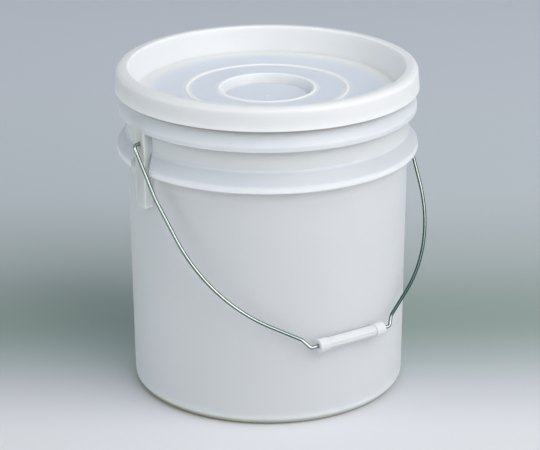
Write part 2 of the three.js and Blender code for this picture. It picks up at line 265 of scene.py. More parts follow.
# Colours of the outside by height above the foot, those of the skirts by height above their lower edges;
# all but the wall's are painted light and shade
TUB_COLOURS_AND_PAINTED_LIGHT = [
    (0.0, WALL_COLOUR),
    *((LOWER_SKIRT["bottom"] + up * MM, colour) for up, colour in [
        (-18.5, WALL_COLOUR), (-7.5, UNDER_LIP_PAINTED_LIGHT), (0, LIP_PAINTED_HIGHLIGHT), (3.5, LIP_PAINTED_HIGHLIGHT),
        (7.5, FLARE_PAINTED_SHADE), (17.5, FLARE_PAINTED_SHADE), (22, NECK_PAINTED_LIGHT)]),
    *((UPPER_SKIRT["bottom"] + up * MM, colour) for up, colour in [
        (-1.5, NECK_PAINTED_LIGHT), (0.2, UPPER_LIP_PAINTED_SHADE), (3.2, UPPER_LIP_PAINTED_SHADE),
        (7, UPPER_FLARE_PAINTED_SHADE), (15.8, UPPER_FLARE_PAINTED_SHADE), (17.5, UNDER_LID_PAINTED_SHADE)]),
    (NECK_HEIGHT, WALL_COLOUR), (RIM_HEIGHT, WALL_COLOUR),
]
# Olive band of painted shade round the foot by height, darkest at the bottom, multiplied into the colour
FOOT_PAINTED_SHADE_TINTS = [
    (0.0, (0.32, 0.31, 0.15)), (2 * MM, (0.36, 0.34, 0.17)), (4.8 * MM, (0.50, 0.43, 0.25)),
    (7.8 * MM, (0.83, 0.87, 0.79)), (12.5 * MM, NO_TINT), (RIM_HEIGHT, NO_TINT),
]
# Turn that lines the foot's painted shade up with the camera, heaviest on the side away from the key
# lamp; the lit side keeps this share of it
PAINTED_SHADE_TURN = np.radians(34)
PAINTED_SHADE_ON_LIT_SIDE = 0.45


def wall_radius(z):
    """Outside of the tapered wall: the foot's radius at 0, the neck's at the neck's height, and a
    straight line between."""
    return FOOT_RADIUS + (NECK_RADIUS - FOOT_RADIUS) * z / NECK_HEIGHT


def rounded(corners, closed=False, step=np.radians(9)):
    """Outline through corners (u, v, radius). A corner with a radius becomes an arc about the point
    radius / cos(turn / 2) along its bisector, which meets both sides radius * tan(turn / 2) from it."""
    points = []
    last = len(corners) - 1
    for i, (u, v, *radius) in enumerate(corners):
        corner = np.array([u, v], float)
        if not radius or not radius[0] or (not closed and i in (0, last)):
            points.append(corner[None, :])
            continue
        before = np.array(corners[i - 1][:2]) - corner
        after = np.array(corners[(i + 1) % len(corners)][:2]) - corner
        before /= np.linalg.norm(before)
        after /= np.linalg.norm(after)
        turn = np.pi - np.arccos(np.clip(before @ after, -1, 1))
        bisector = (before + after) / np.linalg.norm(before + after)
        centre = corner + bisector * radius[0] / np.cos(turn / 2)
        spoke = corner + before * radius[0] * np.tan(turn / 2) - centre
        side = np.sign(before[0] * after[1] - before[1] * after[0])
        angles = -side * np.linspace(0, turn, max(2, int(np.ceil(turn / step)) + 1))
        cosine, sine = np.cos(angles), np.sin(angles)
        points.append(centre + np.stack(
            [spoke[0] * cosine - spoke[1] * sine, spoke[0] * sine + spoke[1] * cosine], -1))
    return np.concatenate(points)


def turned(name, outline, turns=TURNS):
    """Closed skin turned about +Z from an outline of (radius, height) that starts and ends on the axis,
    outside upwards: point (i, j) is (r_i cos a_j, r_i sin a_j, z_i), and each end closes in a fan."""
    ring = outline[1:-1]
    angle = np.linspace(0, 2 * np.pi, turns, endpoint=False)
    circle = np.stack([np.cos(angle), np.sin(angle)], -1)
    rings = np.concatenate([
        ring[:, None, :1] * circle, np.broadcast_to(ring[:, None, 1:], (len(ring), turns, 1))], -1)
    i, j = np.meshgrid(np.arange(len(ring) - 1), np.arange(turns), indexing="ij")
    after_j = (j + 1) % turns
    row, after_row = i * turns, (i + 1) * turns
    quads = np.stack([row + j, row + after_j, after_row + after_j, after_row + j], -1)
    count = len(ring) * turns
    around, after = np.arange(turns), (np.arange(turns) + 1) % turns
    first_fan = np.stack([np.full(turns, count), after, around], -1)
    last_fan = np.stack([np.full(turns, count + 1), count - turns + around, count - turns + after], -1)
    poles = np.array([[0, 0, outline[0, 1]], [0, 0, outline[-1, 1]]])
    faces = quads.reshape(-1, 4).tolist() + first_fan.tolist() + last_fan.tolist()
    return mesh_object(name, np.concatenate([rings.reshape(-1, 3), poles]), faces)


def plate_across(name, outline, start, end, side):
    """Solid with an outline of (y, z) between two distances along X, on the +X side or the -X side."""
    ends = [np.column_stack([np.full(len(outline), side * x), outline]) for x in (start, end)]
    n = len(outline)
    around = np.arange(n)
    sides = np.stack([around, (around + 1) % n, n + (around + 1) % n, n + around], -1)
    faces = sides.tolist() + [around[::-1].tolist(), (n + around).tolist()]
    if side < 0:
        faces = [face[::-1] for face in faces]
    return mesh_object(name, np.concatenate(ends), faces)


def settle(piece):
    """Gives a piece the mesh that its modifiers make of it, smooth but for its sharp edges."""
    evaluated = piece.evaluated_get(bpy.context.evaluated_depsgraph_get())
    mesh = bpy.data.meshes.new_from_object(evaluated)
    piece.modifiers.clear()
    piece.data = mesh
    mesh.shade_smooth()
    mesh.set_sharp_from_angle(angle=SHARP_ANGLE)


def carve(piece, operation, tools):
    """Joins tools to a piece (UNION) or cuts them from it (DIFFERENCE), and deletes the tools."""
    for tool in tools:
        cut = piece.modifiers.new(tool.name, "BOOLEAN")
        cut.operation = operation
        cut.solver = "EXACT"
        cut.object = tool
    settle(piece)
    for tool in tools:
        bpy.data.objects.remove(tool)


def skirt_corners(radius, bottom, lip, climb):
    """Section of a skirt, going up the outside of the wall: hollow underside, upright lip, flare."""
    top = bottom + lip + climb
    inner = radius - WALL
    return [
        (wall_radius(top - 2 * WALL), top - 2 * WALL, SKIRT_HOLLOW),
        (inner, bottom + lip - WALL / 2, SKIRT_ROUNDING - WALL),
        (inner, bottom, LIP_ROUNDING),
        (radius, bottom, LIP_ROUNDING),
        (radius, bottom + lip, SKIRT_ROUNDING),
        (wall_radius(top), top, FLARE_ROUNDING),
    ]


def pail_outline():
    """Section of the tub: under its floor, round the foot, up the outside over both skirts, round the
    bead of the mouth, and down the inside to the floor."""
    foot_inner = FOOT_RADIUS - FOOT_CORNER - FOOT_WIDTH
    floor_top = FOOT_RECESS + FLOOR_THICKNESS
    bead_bottom = RIM_HEIGHT - RIM_BEAD_HEIGHT
    return rounded([
        (0, FOOT_RECESS),
        (foot_inner - FOOT_RECESS / 2, FOOT_RECESS, FOOT_RECESS_ROUNDING),
        (foot_inner, 0, FOOT_EDGE),
        (FOOT_RADIUS, 0, FOOT_CORNER),
        *skirt_corners(**LOWER_SKIRT),
        *skirt_corners(**UPPER_SKIRT),
        (NECK_RADIUS, bead_bottom - (RIM_BEAD_RADIUS - NECK_RADIUS) / 2, BEAD_ROUNDING),
        (RIM_BEAD_RADIUS, bead_bottom, BEAD_ROUNDING),
        (RIM_BEAD_RADIUS, RIM_HEIGHT, MOUTH_ROUNDING),
        (NECK_RADIUS - WALL, RIM_HEIGHT, LIP_ROUNDING),
        (wall_radius(floor_top) - WALL, floor_top, INNER_CORNER),
        (0, floor_top),
    ])


def ear_outline(inset, foot):
    """Upright rectangle (y, z) from a foot up, drawn in by an inset, with its two top corners round."""
    half = EAR_HALF_WIDTH - inset
    top = EAR_TOP - inset
    return rounded([
        (-half, foot), (half, foot), (half, top, EAR_CORNER), (-half, top, EAR_CORNER)], True)


def window_outline():
    """Gap in the lower skirt round an ear: both sides sweep out from the ear to the skirt's edge."""
    sweep_top = LOWER_SKIRT["bottom"] + LOWER_SKIRT["lip"] + LOWER_SKIRT["climb"]
    sweep_foot = LOWER_SKIRT["bottom"] + LOWER_SKIRT["lip"]
    bend_radius = WINDOW_HALF_WIDTH - EAR_HALF_WIDTH
    side = [
        (WINDOW_HALF_WIDTH, LOWER_SKIRT["bottom"] - CUT_PAST),
        (WINDOW_HALF_WIDTH - CUT_PAST, sweep_foot, bend_radius),
        (EAR_HALF_WIDTH + GAP, sweep_top, bend_radius),
        (EAR_HALF_WIDTH + GAP, UPPER_SKIRT["bottom"] - GAP),
    ]
    return rounded(side + [(-y, *rest) for y, *rest in side[::-1]], True)


def ear_hole(side):
    """Round hole along X through the face of an ear."""
    angle = np.linspace(0, 2 * np.pi, EAR_HOLE_SIDES, endpoint=False)
    circle = EAR_HOLE_RADIUS * np.stack([np.cos(angle), np.sin(angle)], -1) + (0, PIVOT_HEIGHT)
    return plate_across("ear_hole", circle, EAR_FACE - 1.5 * EAR_WALL, EAR_FACE + EAR_WALL, side)


inside = wall_radius(EAR_TOP) + GAP
outside = LOWER_SKIRT["radius"] + WALL
pail = turned("pail_tub", pail_outline())
for side in (1, -1):
    window = plate_across("window", window_outline(), inside, outside, side)
    boss = plate_across(
        "boss", ear_outline(0, EAR_FOOT), wall_radius(EAR_FOOT) - WALL / 2, EAR_FACE, side)
    edge = boss.modifiers.new("edge", "BEVEL")
    edge.width = EAR_EDGE
    edge.segments = 3
    settle(boss)
    hollow = plate_across(
        "hollow", ear_outline(EAR_WALL, EAR_FOOT - CUT_PAST), inside, EAR_FACE - EAR_WALL, side)
    carve(pail, "DIFFERENCE", [window])
    carve(pail, "UNION", [boss])
    carve(pail, "DIFFERENCE", [hollow, ear_hole(side)])


def node_group(name, inputs, outputs):
    """Empty shader group with named inputs {name: default} and outputs {name: socket type}."""
    group = bpy.data.node_groups.new(name, "ShaderNodeTree")
    for key, value in inputs.items():
        kind = "NodeSocketFloat" if isinstance(value, (int, float)) else "NodeSocketColor"
        group.interface.new_socket(key, in_out="INPUT", socket_type=kind).default_value = value
    for key, kind in outputs.items():
        group.interface.new_socket(key, in_out="OUTPUT", socket_type=kind)
    return group, group.nodes.new("NodeGroupInput"), group.nodes.new("NodeGroupOutput")


def moulded_skin():
    """Skin of moulded polyethylene: broad clouds of colour from the melt's flow, fine scuffs that raise
    the roughness, scattered specks of dust, and a soft unevenness of the surface as height."""
    group, given, result = node_group(
        "moulded_skin",
        {"Colour": (0.8, 0.8, 0.8, 1), "Cloud tint": (0.9, 0.9, 0.9, 1), "Clouds": 0.3,
         "Roughness": 0.4, "Scuffs": 0.1, "Specks": 0.5},
        {"Colour": "NodeSocketColor", "Roughness": "NodeSocketFloat", "Height": "NodeSocketFloat"})
    here = add(group, "ShaderNodeTexCoord").outputs["Object"]
    flow = add(group, "ShaderNodeMapping", Vector=here, Scale=CLOUDS_PER_METRE).outputs["Vector"]
    cloud = add(group, "ShaderNodeTexNoise", Vector=flow, Scale=1.0, Detail=4.0, Roughness=0.55)
    shade = add(group, "ShaderNodeMath", {"operation": "MULTIPLY", "use_clamp": True},
                _0=cloud.outputs["Fac"], _1=given.outputs["Clouds"])
    base = add(group, "ShaderNodeMix", {"data_type": "RGBA", "blend_type": "MULTIPLY"},
               Factor=shade.outputs[0], _6=given.outputs["Colour"], _7=given.outputs["Cloud tint"])
    grain = add(group, "ShaderNodeTexVoronoi", {"feature": "F1"}, Vector=here,
                Scale=SPECK_CELLS_PER_METRE)
    near = add(group, "ShaderNodeMapRange", Value=grain.outputs["Distance"],
               From_Min=SPECK_EDGE[0], From_Max=SPECK_EDGE[1])
    rare = add(group, "ShaderNodeSeparateColor", Color=grain.outputs["Color"])
    chosen = add(group, "ShaderNodeMath", {"operation": "GREATER_THAN"},
                 _0=rare.outputs[0], _1=SPECK_RARITY)
    speck = add(group, "ShaderNodeMath", {"operation": "MULTIPLY"},
                _0=near.outputs["Result"], _1=chosen.outputs[0])
    dust = add(group, "ShaderNodeMath", {"operation": "MULTIPLY", "use_clamp": True},
               _0=speck.outputs[0], _1=given.outputs["Specks"])
    dusty = add(group, "ShaderNodeMix", {"data_type": "RGBA"}, Factor=dust.outputs[0],
                _6=base.outputs[2], _7=(*SPECK_COLOUR, 1))
    rub = add(group, "ShaderNodeTexNoise", Vector=here, Scale=SCUFFS_PER_METRE, Detail=6.0, Roughness=0.7)
    worn = add(group, "ShaderNodeMath", {"operation": "MULTIPLY_ADD"},
               _0=rub.outputs["Fac"], _1=given.outputs["Scuffs"], _2=given.outputs["Roughness"])
    group.links.new(dusty.outputs[2], result.inputs["Colour"])
    group.links.new(worn.outputs[0], result.inputs["Roughness"])
    group.links.new(rub.outputs["Fac"], result.inputs["Height"])
    return group


SKIN = moulded_skin()


def plastic(name, colour, cloud_tint, clouds, roughness, scuffs, specks, bump, milk, depth):
    """Polyethylene: the moulded skin over a Principled shader whose subsurface light makes it milky.
    The colour is a plain one or a function that builds one in the material's tree."""
    made = bpy.data.materials.new(name)
    made.use_nodes = True
    tree = made.node_tree
    skin = add(tree, "ShaderNodeGroup", {"node_tree": SKIN},
               Colour=colour(tree) if callable(colour) else (*colour, 1), Cloud_tint=(*cloud_tint, 1),
               Clouds=clouds, Roughness=roughness, Scuffs=scuffs, Specks=specks)
    uneven = add(tree, "ShaderNodeBump", Strength=bump, Distance=SCUFF_RELIEF,
                 Height=skin.outputs["Height"])
    shader = tree.nodes["Principled BSDF"]
    shader.inputs["IOR"].default_value = 1.5
    shader.inputs["Specular IOR Level"].default_value = 0.3
    shader.inputs["Subsurface Weight"].default_value = milk
    shader.inputs["Subsurface Radius"].default_value = (1.0, 1.0, 1.0)
    shader.inputs["Subsurface Scale"].default_value = depth
    tree.links.new(skin.outputs["Colour"], shader.inputs["Base Color"])
    tree.links.new(skin.outputs["Roughness"], shader.inputs["Roughness"])
    tree.links.new(uneven.outputs["Normal"], shader.inputs["Normal"])
    return made


def tub_colour(tree):
    """Wall colour with painted light and shade outside: a painted highlight on the lower lip, painted
    light under it and on the neck, painted shade on the upper lip and the flares, a brownish line of
    painted shade under the lid, painted shade on the ears, and an olive band of painted shade round
    the foot, heavier on the side away from the key lamp."""
    here = add(tree, "ShaderNodeTexCoord").outputs["Object"]
    place = add(tree, "ShaderNodeSeparateXYZ", Vector=here)
    height = place.outputs["Z"]
    flat = add(tree, "ShaderNodeCombineXYZ", X=place.outputs["X"], Y=place.outputs["Y"]).outputs[0]
    radius = add(tree, "ShaderNodeVectorMath", {"operation": "LENGTH"}, Vector=flat).outputs["Value"]
    outer = add(tree, "ShaderNodeMapRange", Value=radius,
                From_Min=NECK_RADIUS - WALL, From_Max=NECK_RADIUS - WALL / 2)
    banded = add(tree, "ShaderNodeMix", {"data_type": "RGBA"}, Factor=outer.outputs["Result"],
                 _6=(*WALL_COLOUR, 1), _7=colour_ramp(tree, height, TUB_COLOURS_AND_PAINTED_LIGHT))
    aside = [add(tree, "ShaderNodeMath", {"operation": "ABSOLUTE"}, _0=place.outputs[axis]).outputs[0]
             for axis in "XY"]
    far_out = add(tree, "ShaderNodeMapRange", Value=aside[0],
                  From_Min=NECK_RADIUS, From_Max=NECK_RADIUS + WALL)
    narrow = add(tree, "ShaderNodeMapRange", Value=aside[1],
                 From_Min=EAR_HALF_WIDTH + 2 * GAP, From_Max=EAR_HALF_WIDTH)
    below = add(tree, "ShaderNodeMapRange", Value=height, From_Min=EAR_TOP + 2 * GAP, From_Max=EAR_TOP)
    ear = add(tree, "ShaderNodeMath", {"operation": "MULTIPLY"},
              _0=far_out.outputs["Result"], _1=narrow.outputs["Result"])
    ear = add(tree, "ShaderNodeMath", {"operation": "MULTIPLY"},
              _0=ear.outputs[0], _1=below.outputs["Result"])
    # The ears take painted shade
    eared = add(tree, "ShaderNodeMix", {"data_type": "RGBA"}, Factor=ear.outputs[0],
                _6=banded.outputs[2], _7=(*EAR_PAINTED_SHADE, 1))
    # Painted shade round the foot, heaviest on the side away from the key lamp
    level = add(tree, "ShaderNodeMapping", Vector=here, Rotation=(0, 0, PAINTED_SHADE_TURN))
    across = add(tree, "ShaderNodeSeparateXYZ", Vector=level.outputs["Vector"]).outputs["X"]
    heavy = add(tree, "ShaderNodeMapRange", Value=across,
                From_Min=-FOOT_RADIUS, From_Max=FOOT_RADIUS, To_Min=1.0, To_Max=PAINTED_SHADE_ON_LIT_SIDE)
    foot_shaded = add(tree, "ShaderNodeMix", {"data_type": "RGBA", "blend_type": "MULTIPLY"},
                  Factor=heavy.outputs["Result"], _6=eared.outputs[2],
                  _7=colour_ramp(tree, height, FOOT_PAINTED_SHADE_TINTS))
    return foot_shaded.outputs[2]


pail.data.materials.clear()
pail.data.materials.append(plastic(
    "natural_polyethylene", tub_colour, cloud_tint=(0.84, 0.87, 0.87), clouds=0.5, roughness=0.38,
    scuffs=0.12, specks=0.8, bump=0.25, milk=1.0, depth=12 * MM))
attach(pail, "pail")
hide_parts("pail_body")

# The lid: white polyethylene, injection moulded in one piece. Its skirt snaps over the bead round the
# mouth, its dish sinks into the mouth, and a low ring and a sunk disc stiffen the flat panel.
LID_THICKNESS = 2.2 * MM
LID_TOP_EXTRA = 0.4 * MM
LID_SKIRT_EXTRA = 0.4 * MM
LID_RADIUS = 155 * MM
LID_SHOULDER_RADIUS = 153 * MM
LID_GAP = 2.7 * MM
LID_TOP = 339 * MM
LID_SHOULDER = 6.5 * MM
DISH_RADIUS = 141.4 * MM
DISH_EDGE = 2.4 * MM
PANEL_RADIUS = 131.5 * MM
PANEL_HEIGHT = 313 * MM
PANEL_CORNER = 3.5 * MM
RIDGE_RADIUS = 82 * MM
RIDGE_WIDTH = 4.4 * MM
RIDGE_HEIGHT = 1.3 * MM
RIDGE_INNER = RIDGE_RADIUS - RIDGE_WIDTH / 2
RIDGE_OUTER = RIDGE_RADIUS + RIDGE_WIDTH / 2
RECESS_RADIUS = 48 * MM
RECESS_FLOOR_RADIUS = 42.5 * MM
RECESS_DEPTH = 8.5 * MM
RECESS_LIP = 1 * MM
RECESS_LIP_OUTER = RECESS_RADIUS + 2.8 * MM
RECESS_LIP_ROUNDING = 0.6 * MM
RECESS_CORNER = 1.5 * MM
GATE_RADIUS = 2 * MM
GATE_HEIGHT = 0.5 * MM
LID_BEAD_HEIGHT = 2 * MM
ROOT_ROUNDING = 0.5 * MM
CREST_ROUNDING = 0.8 * MM
GATE_ROUNDING = 0.3 * MM
CHANNEL_CORNER = 1 * MM
SNAP_CLEARANCE = 0.35 * MM
LID_BOTTOM = UPPER_SKIRT["bottom"] + UPPER_SKIRT["lip"] + UPPER_SKIRT["climb"] + LID_GAP
CHANNEL_TOP = LID_TOP - LID_THICKNESS - LID_TOP_EXTRA
# Painted light and shade of the lid: a bluish painted reflection on the panel and sunk disc, painted
# highlights on the ring and the disc's lip, painted light on the dish's wall, and painted shade on the
# rim and on the sunk disc's wall; the band keeps the lid's own colour
PANEL_PAINTED_REFLECTION = (0.655, 0.72, 0.875)
RIM_PAINTED_SHADE = (0.70, 0.71, 0.72)
RING_PAINTED_HIGHLIGHT = (0.82, 0.835, 0.86)
RECESS_WALL_PAINTED_SHADE = (0.68, 0.69, 0.71)
DISH_WALL_PAINTED_LIGHT = (0.84, 0.855, 0.865)
BAND_COLOUR = (0.765, 0.775, 0.79)
# Colours of the lid by distance from the axis, painted light and shade on one white plastic: each blends
# into the next across an edge of the shape
LID_COLOURS_AND_PAINTED_LIGHT = [
    (0.0, PANEL_PAINTED_REFLECTION), (RECESS_FLOOR_RADIUS - 1.3 * MM, PANEL_PAINTED_REFLECTION),
    (RECESS_FLOOR_RADIUS + 0.5 * MM, RECESS_WALL_PAINTED_SHADE),
    (RECESS_RADIUS - 0.8 * MM, RECESS_WALL_PAINTED_SHADE), (RECESS_RADIUS + 0.5 * MM, RING_PAINTED_HIGHLIGHT),
    (RECESS_LIP_OUTER + 0.7 * MM, RING_PAINTED_HIGHLIGHT), (RECESS_LIP_OUTER + 4.2 * MM, PANEL_PAINTED_REFLECTION),
    (RIDGE_INNER - 3.8 * MM, PANEL_PAINTED_REFLECTION),
    (RIDGE_INNER, RING_PAINTED_HIGHLIGHT), (RIDGE_OUTER, RING_PAINTED_HIGHLIGHT), (RIDGE_OUTER + 4.3 * MM, PANEL_PAINTED_REFLECTION),
    (PANEL_RADIUS - 24.5 * MM, PANEL_PAINTED_REFLECTION), (PANEL_RADIUS - 0.5 * MM, DISH_WALL_PAINTED_LIGHT),
    (DISH_RADIUS - 0.9 * MM, DISH_WALL_PAINTED_LIGHT), (DISH_RADIUS + 1.6 * MM, RIM_PAINTED_SHADE),
    (LID_SHOULDER_RADIUS - 2 * MM, RIM_PAINTED_SHADE), (LID_SHOULDER_RADIUS, BAND_COLOUR),
    (LID_RADIUS, BAND_COLOUR),
]


def lid_outline():
    """Section of the lid: along its underside from the axis to the channel over the mouth, down the
    skirt's inside to its bead, and back along the top to the gate mark in the sunk disc."""
    slope = (DISH_RADIUS - PANEL_RADIUS) / (LID_TOP - PANEL_HEIGHT)
    offset = LID_THICKNESS * np.hypot(1, slope)
    panel_under = PANEL_HEIGHT - LID_THICKNESS
    recess_floor = PANEL_HEIGHT - RECESS_DEPTH
    recess_under = recess_floor - LID_THICKNESS
    bead_radius = RIM_BEAD_RADIUS + SNAP_CLEARANCE

    def plug_radius(z):
        """Outside of the plug in the mouth: the dish's wall, one thickness further out."""
        return PANEL_RADIUS + offset + slope * (z - PANEL_HEIGHT)

    return rounded([
        (0, recess_under),
        (RECESS_FLOOR_RADIUS + LID_THICKNESS, recess_under, CHANNEL_CORNER * 2),
        (RECESS_RADIUS + LID_THICKNESS, panel_under, CHANNEL_CORNER),
        (plug_radius(panel_under), panel_under, PANEL_CORNER + LID_THICKNESS),
        (plug_radius(CHANNEL_TOP), CHANNEL_TOP, CHANNEL_CORNER),
        (LID_SHOULDER_RADIUS - LID_THICKNESS, CHANNEL_TOP, LID_SHOULDER - LID_THICKNESS),
        (LID_RADIUS - LID_THICKNESS - LID_SKIRT_EXTRA, LID_BOTTOM + 2 * LID_BEAD_HEIGHT, ROOT_ROUNDING),
        (bead_radius, LID_BOTTOM + LID_BEAD_HEIGHT * 1.6, ROOT_ROUNDING),
        (bead_radius, LID_BOTTOM + LID_BEAD_HEIGHT * 0.7, ROOT_ROUNDING),
        (LID_RADIUS - LID_THICKNESS, LID_BOTTOM, LIP_ROUNDING / 2),
        (LID_RADIUS, LID_BOTTOM, LIP_ROUNDING),
        (LID_SHOULDER_RADIUS, LID_TOP, LID_SHOULDER),
        (DISH_RADIUS, LID_TOP, DISH_EDGE),
        (PANEL_RADIUS, PANEL_HEIGHT, PANEL_CORNER),
        (RIDGE_OUTER, PANEL_HEIGHT, ROOT_ROUNDING),
        (RIDGE_OUTER - RIDGE_HEIGHT, PANEL_HEIGHT + RIDGE_HEIGHT, CREST_ROUNDING),
        (RIDGE_INNER + RIDGE_HEIGHT, PANEL_HEIGHT + RIDGE_HEIGHT, CREST_ROUNDING),
        (RIDGE_INNER, PANEL_HEIGHT, ROOT_ROUNDING),
        (RECESS_LIP_OUTER, PANEL_HEIGHT, ROOT_ROUNDING),
        (RECESS_LIP_OUTER - RECESS_LIP, PANEL_HEIGHT + RECESS_LIP, RECESS_LIP_ROUNDING),
        (RECESS_RADIUS, PANEL_HEIGHT + RECESS_LIP, CREST_ROUNDING),
        (RECESS_FLOOR_RADIUS, recess_floor, RECESS_CORNER),
        (GATE_RADIUS + GATE_HEIGHT, recess_floor, GATE_ROUNDING),
        (GATE_RADIUS, recess_floor + GATE_HEIGHT, GATE_ROUNDING),
        (0, recess_floor + GATE_HEIGHT),
    ])


def lid_colour(tree):
    """Colour by distance from the axis, painted light and shade on the white plastic: a bluish painted
    reflection on the panel and sunk disc, painted highlights on the ring and the disc's lip, painted
    light on the dish wall, and painted shade on the rim and the sunk disc's wall.
    """
    place = add(tree, "ShaderNodeSeparateXYZ", Vector=add(tree, "ShaderNodeTexCoord").outputs["Object"])
    flat = add(tree, "ShaderNodeCombineXYZ", X=place.outputs["X"], Y=place.outputs["Y"]).outputs[0]
    radius = add(tree, "ShaderNodeVectorMath", {"operation": "LENGTH"}, Vector=flat).outputs["Value"]
    return colour_ramp(tree, radius, LID_COLOURS_AND_PAINTED_LIGHT)


lid = turned("pail_lid", lid_outline())
lid.data.materials.append(plastic(
    "white_polyethylene", lid_colour, cloud_tint=(0.90, 0.92, 0.94), clouds=0.25, roughness=0.42,
    scuffs=0.10, specks=0.25, bump=0.15, milk=0.9, depth=9 * MM))
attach(lid, "lid")
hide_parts("lid")

# The seal: a ring of pale foamed rubber pressed into the top of the lid's channel, where it lies on
# the mouth. It shows only from below when the lid is off.
seal_low, seal_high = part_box("lid_gasket")
SEAL_OUTER = RIM_BEAD_RADIUS - LID_THICKNESS
SEAL_INNER = NECK_RADIUS - WALL + 1.5 * MM
SEAL_FOOT_ROUNDING = 0.8 * MM
SEAL_TOP_ROUNDINGS = (1.5 * MM, 0.6 * MM)
FOAM_COLOUR = (0.52, 0.53, 0.51)
CELL_COLOUR = (0.40, 0.41, 0.40)
CELLS_PER_METRE = 900.0
CELL_RELIEF = 0.3 * MM


def seal_ring():
    """Rounded section carried round the circle: point (i, j) is (r_i cos a_j, r_i sin a_j, z_i)."""
    section = rounded([
        (SEAL_INNER, seal_low.z, SEAL_FOOT_ROUNDING), (SEAL_OUTER, seal_low.z, SEAL_FOOT_ROUNDING),
        (SEAL_OUTER, seal_high.z, SEAL_TOP_ROUNDINGS[0]),
        (SEAL_INNER, seal_high.z, SEAL_TOP_ROUNDINGS[1])], True)
    angle = np.linspace(0, 2 * np.pi, TURNS, endpoint=False)
    radius, height = section[:, None, 0], section[:, None, 1]
    points = np.stack(np.broadcast_arrays(radius * np.cos(angle), radius * np.sin(angle), height), -1)
    return grid_mesh("lid_seal", points, wrap_rows=True, wrap_columns=True)


def foamed_rubber():
    """Closed foam: small cells darken the colour and dent the skin."""
    made = bpy.data.materials.new("foamed_rubber")
    made.use_nodes = True
    tree = made.node_tree
    here = add(tree, "ShaderNodeTexCoord").outputs["Object"]
    cells = add(tree, "ShaderNodeTexVoronoi", Vector=here, Scale=CELLS_PER_METRE)
    shade = add(tree, "ShaderNodeMix", {"data_type": "RGBA"}, Factor=cells.outputs["Distance"],
                _6=(*FOAM_COLOUR, 1), _7=(*CELL_COLOUR, 1))
    dents = add(tree, "ShaderNodeBump", Strength=0.5, Distance=CELL_RELIEF,
                Height=cells.outputs["Distance"])
    shader = tree.nodes["Principled BSDF"]
    shader.inputs["Roughness"].default_value = 0.8
    tree.links.new(shade.outputs[2], shader.inputs["Base Color"])
    tree.links.new(dents.outputs["Normal"], shader.inputs["Normal"])
    return made


seal = seal_ring()
seal.data.materials.append(foamed_rubber())
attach(seal, "lid")
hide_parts("lid_gasket")

# The bail: one length of galvanised steel wire bent to a wide bow, with a crank at each end of the
# grip. Its ends pass through the ears and are upset to heads inside them.
WIRE_RADIUS = 1.75 * MM
HOLE_CLEARANCE = 0.5 * MM
HEAD_RADIUS = 3 * MM
HEAD_LENGTH = 1.4 * MM
LEG_OUT = 158.8 * MM
# Corners of the bow in the bail's own plane: out along the pivot axis, down from it, rounding
LEG_SHOULDER = (156.6 * MM, 60 * MM, 90 * MM)
LEG_ELBOW = (139.8 * MM, 171.8 * MM, 163 * MM)
CRANK_TOP = (55.2 * MM, 232.0 * MM, 16 * MM)
GRIP_DROP = 242.3 * MM
WIRE_BEND = 4.2 * MM
GRIP_LENGTH = 80 * MM
GRIP_END_PLAY = 6.5 * MM
GRIP_RADIUS = 5.8 * MM
WIRE_SIDES = 20
# Painted highlight and shade of the wire: its zinc tone in the middle of its width fades to near black
# painted shade where the facing weight reaches these shares, wider near the ears and the grip
EAR_HIGHLIGHT_REACH = 12 * MM
PAINTED_HIGHLIGHT_SHARE = 0.20
PAINTED_HIGHLIGHT_SHARE_NEAR_ENDS = 0.60
ZINC_DULL = (0.44, 0.50, 0.46)
ZINC_BRIGHT = (0.62, 0.67, 0.62)
ZINC_PAINTED_EDGE_SHADE = (0.035, 0.075, 0.068)
ZINC_ROUGHNESS = (0.14, 0.26)
SPANGLES_PER_METRE = 160.0
DRAWING_RELIEF = 0.2 * MM


def rest_angle():
    """Angle of the bail from straight down at which the grip touches the wall: sin(angle) is the wall's
    radius at the grip's height, plus the gap and the grip's radius, over the grip's drop."""
    angle = 0.0
    for _ in range(12):
        height = PIVOT_HEIGHT - GRIP_DROP * np.cos(angle)
        angle = np.arcsin((wall_radius(height) + GAP + GRIP_RADIUS) / GRIP_DROP)
    return angle


REST = rest_angle()
OUTWARD = np.array([0.0, -np.sin(REST), -np.cos(REST)])
ACROSS = np.array([1.0, 0.0, 0.0])
NORMAL = np.cross(ACROSS, OUTWARD)


def in_bail(out, down, up_from_plane=0.0):
    """Point of the bail's own plane in the pail's frame: pivot + out * X + down * hanging direction."""
    return (np.array([0, 0, PIVOT_HEIGHT]) + np.multiply.outer(out, ACROSS)
            + np.multiply.outer(down, OUTWARD) + np.multiply.outer(up_from_plane, NORMAL))


